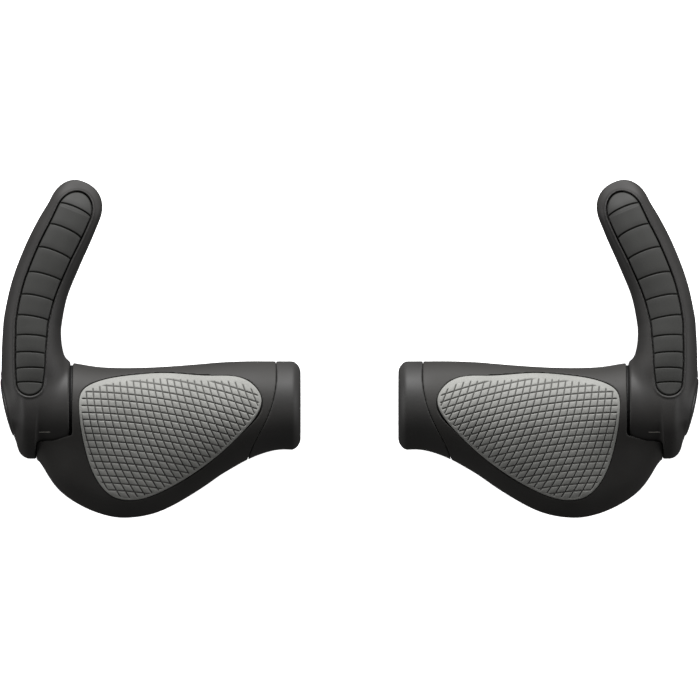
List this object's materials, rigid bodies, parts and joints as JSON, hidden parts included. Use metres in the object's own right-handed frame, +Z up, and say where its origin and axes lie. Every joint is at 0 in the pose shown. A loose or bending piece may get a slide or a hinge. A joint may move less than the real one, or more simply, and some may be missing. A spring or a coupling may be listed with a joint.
{
  "type": "bar end grips",
  "caption": "Pair of ergonomic bicycle handlebar grips with a palm wing, soft textured pads and short forward bar ends that clamp round the grip's core.",
  "frame": {"origin": "on the handlebar's axis, midway between the two grips", "axes": "+X along the handlebar towards the right grip, +Y forward towards the bar ends' tips, +Z up"},
  "size_m": [0.2616, 0.1267, 0.0386],
  "materials": {
    "core_nylon": "satin",
    "black_rubber": "matte",
    "grey_rubber": "matte, diamond textured",
    "bar_end_nylon": "fine matt texture",
    "horn_rubber": "matte, cross grooved",
    "clamp_aluminium": "plain machined",
    "steel": "zinc plated",
    "cap_plastic": "satin"
  },
  "bodies": {
    "left_grip": {"left_core_sleeve": "core_nylon", "left_grip_rubber": "black_rubber", "left_palm_pad": "grey_rubber"},
    "left_bar_end": {"left_bar_end_body": "bar_end_nylon", "left_horn_pad": "horn_rubber", "left_clamp_ring": "clamp_aluminium", "left_barrel_nut": "steel", "left_screw_washer": "steel", "left_end_cap": "cap_plastic"},
    "left_screw": {"left_clamp_screw": "steel"},
    "right_grip": {"right_core_sleeve": "core_nylon", "right_grip_rubber": "black_rubber", "right_palm_pad": "grey_rubber"},
    "right_bar_end": {"right_bar_end_body": "bar_end_nylon", "right_horn_pad": "horn_rubber", "right_clamp_ring": "clamp_aluminium", "right_barrel_nut": "steel", "right_screw_washer": "steel", "right_end_cap": "cap_plastic"},
    "right_screw": {"right_clamp_screw": "steel"}
  },
  "joints": [
    {"name": "grip_spacing", "type": "slide", "parent": "left_grip", "child": "right_grip", "axis": [1, 0, 0], "range_m": [0, 0.5]},
    {"name": "left_bar_end_tilt", "type": "hinge", "parent": "left_grip", "child": "left_bar_end", "pos_m": [-0.1163, 0, 0], "axis": [1, 0, 0], "range_deg": [-45, 60]},
    {"name": "left_screw_turn", "type": "hinge", "parent": "left_bar_end", "child": "left_screw", "pos_m": [-0.1213, -0.0064, -0.0168], "axis": [0, -1, 0], "continuous": true},
    {"name": "right_bar_end_tilt", "type": "hinge", "parent": "right_grip", "child": "right_bar_end", "pos_m": [0.1163, 0, 0], "axis": [1, 0, 0], "range_deg": [-45, 60]},
    {"name": "right_screw_turn", "type": "hinge", "parent": "right_bar_end", "child": "right_screw", "pos_m": [0.1213, -0.0064, -0.0168], "axis": [0, -1, 0], "continuous": true}
  ]
}
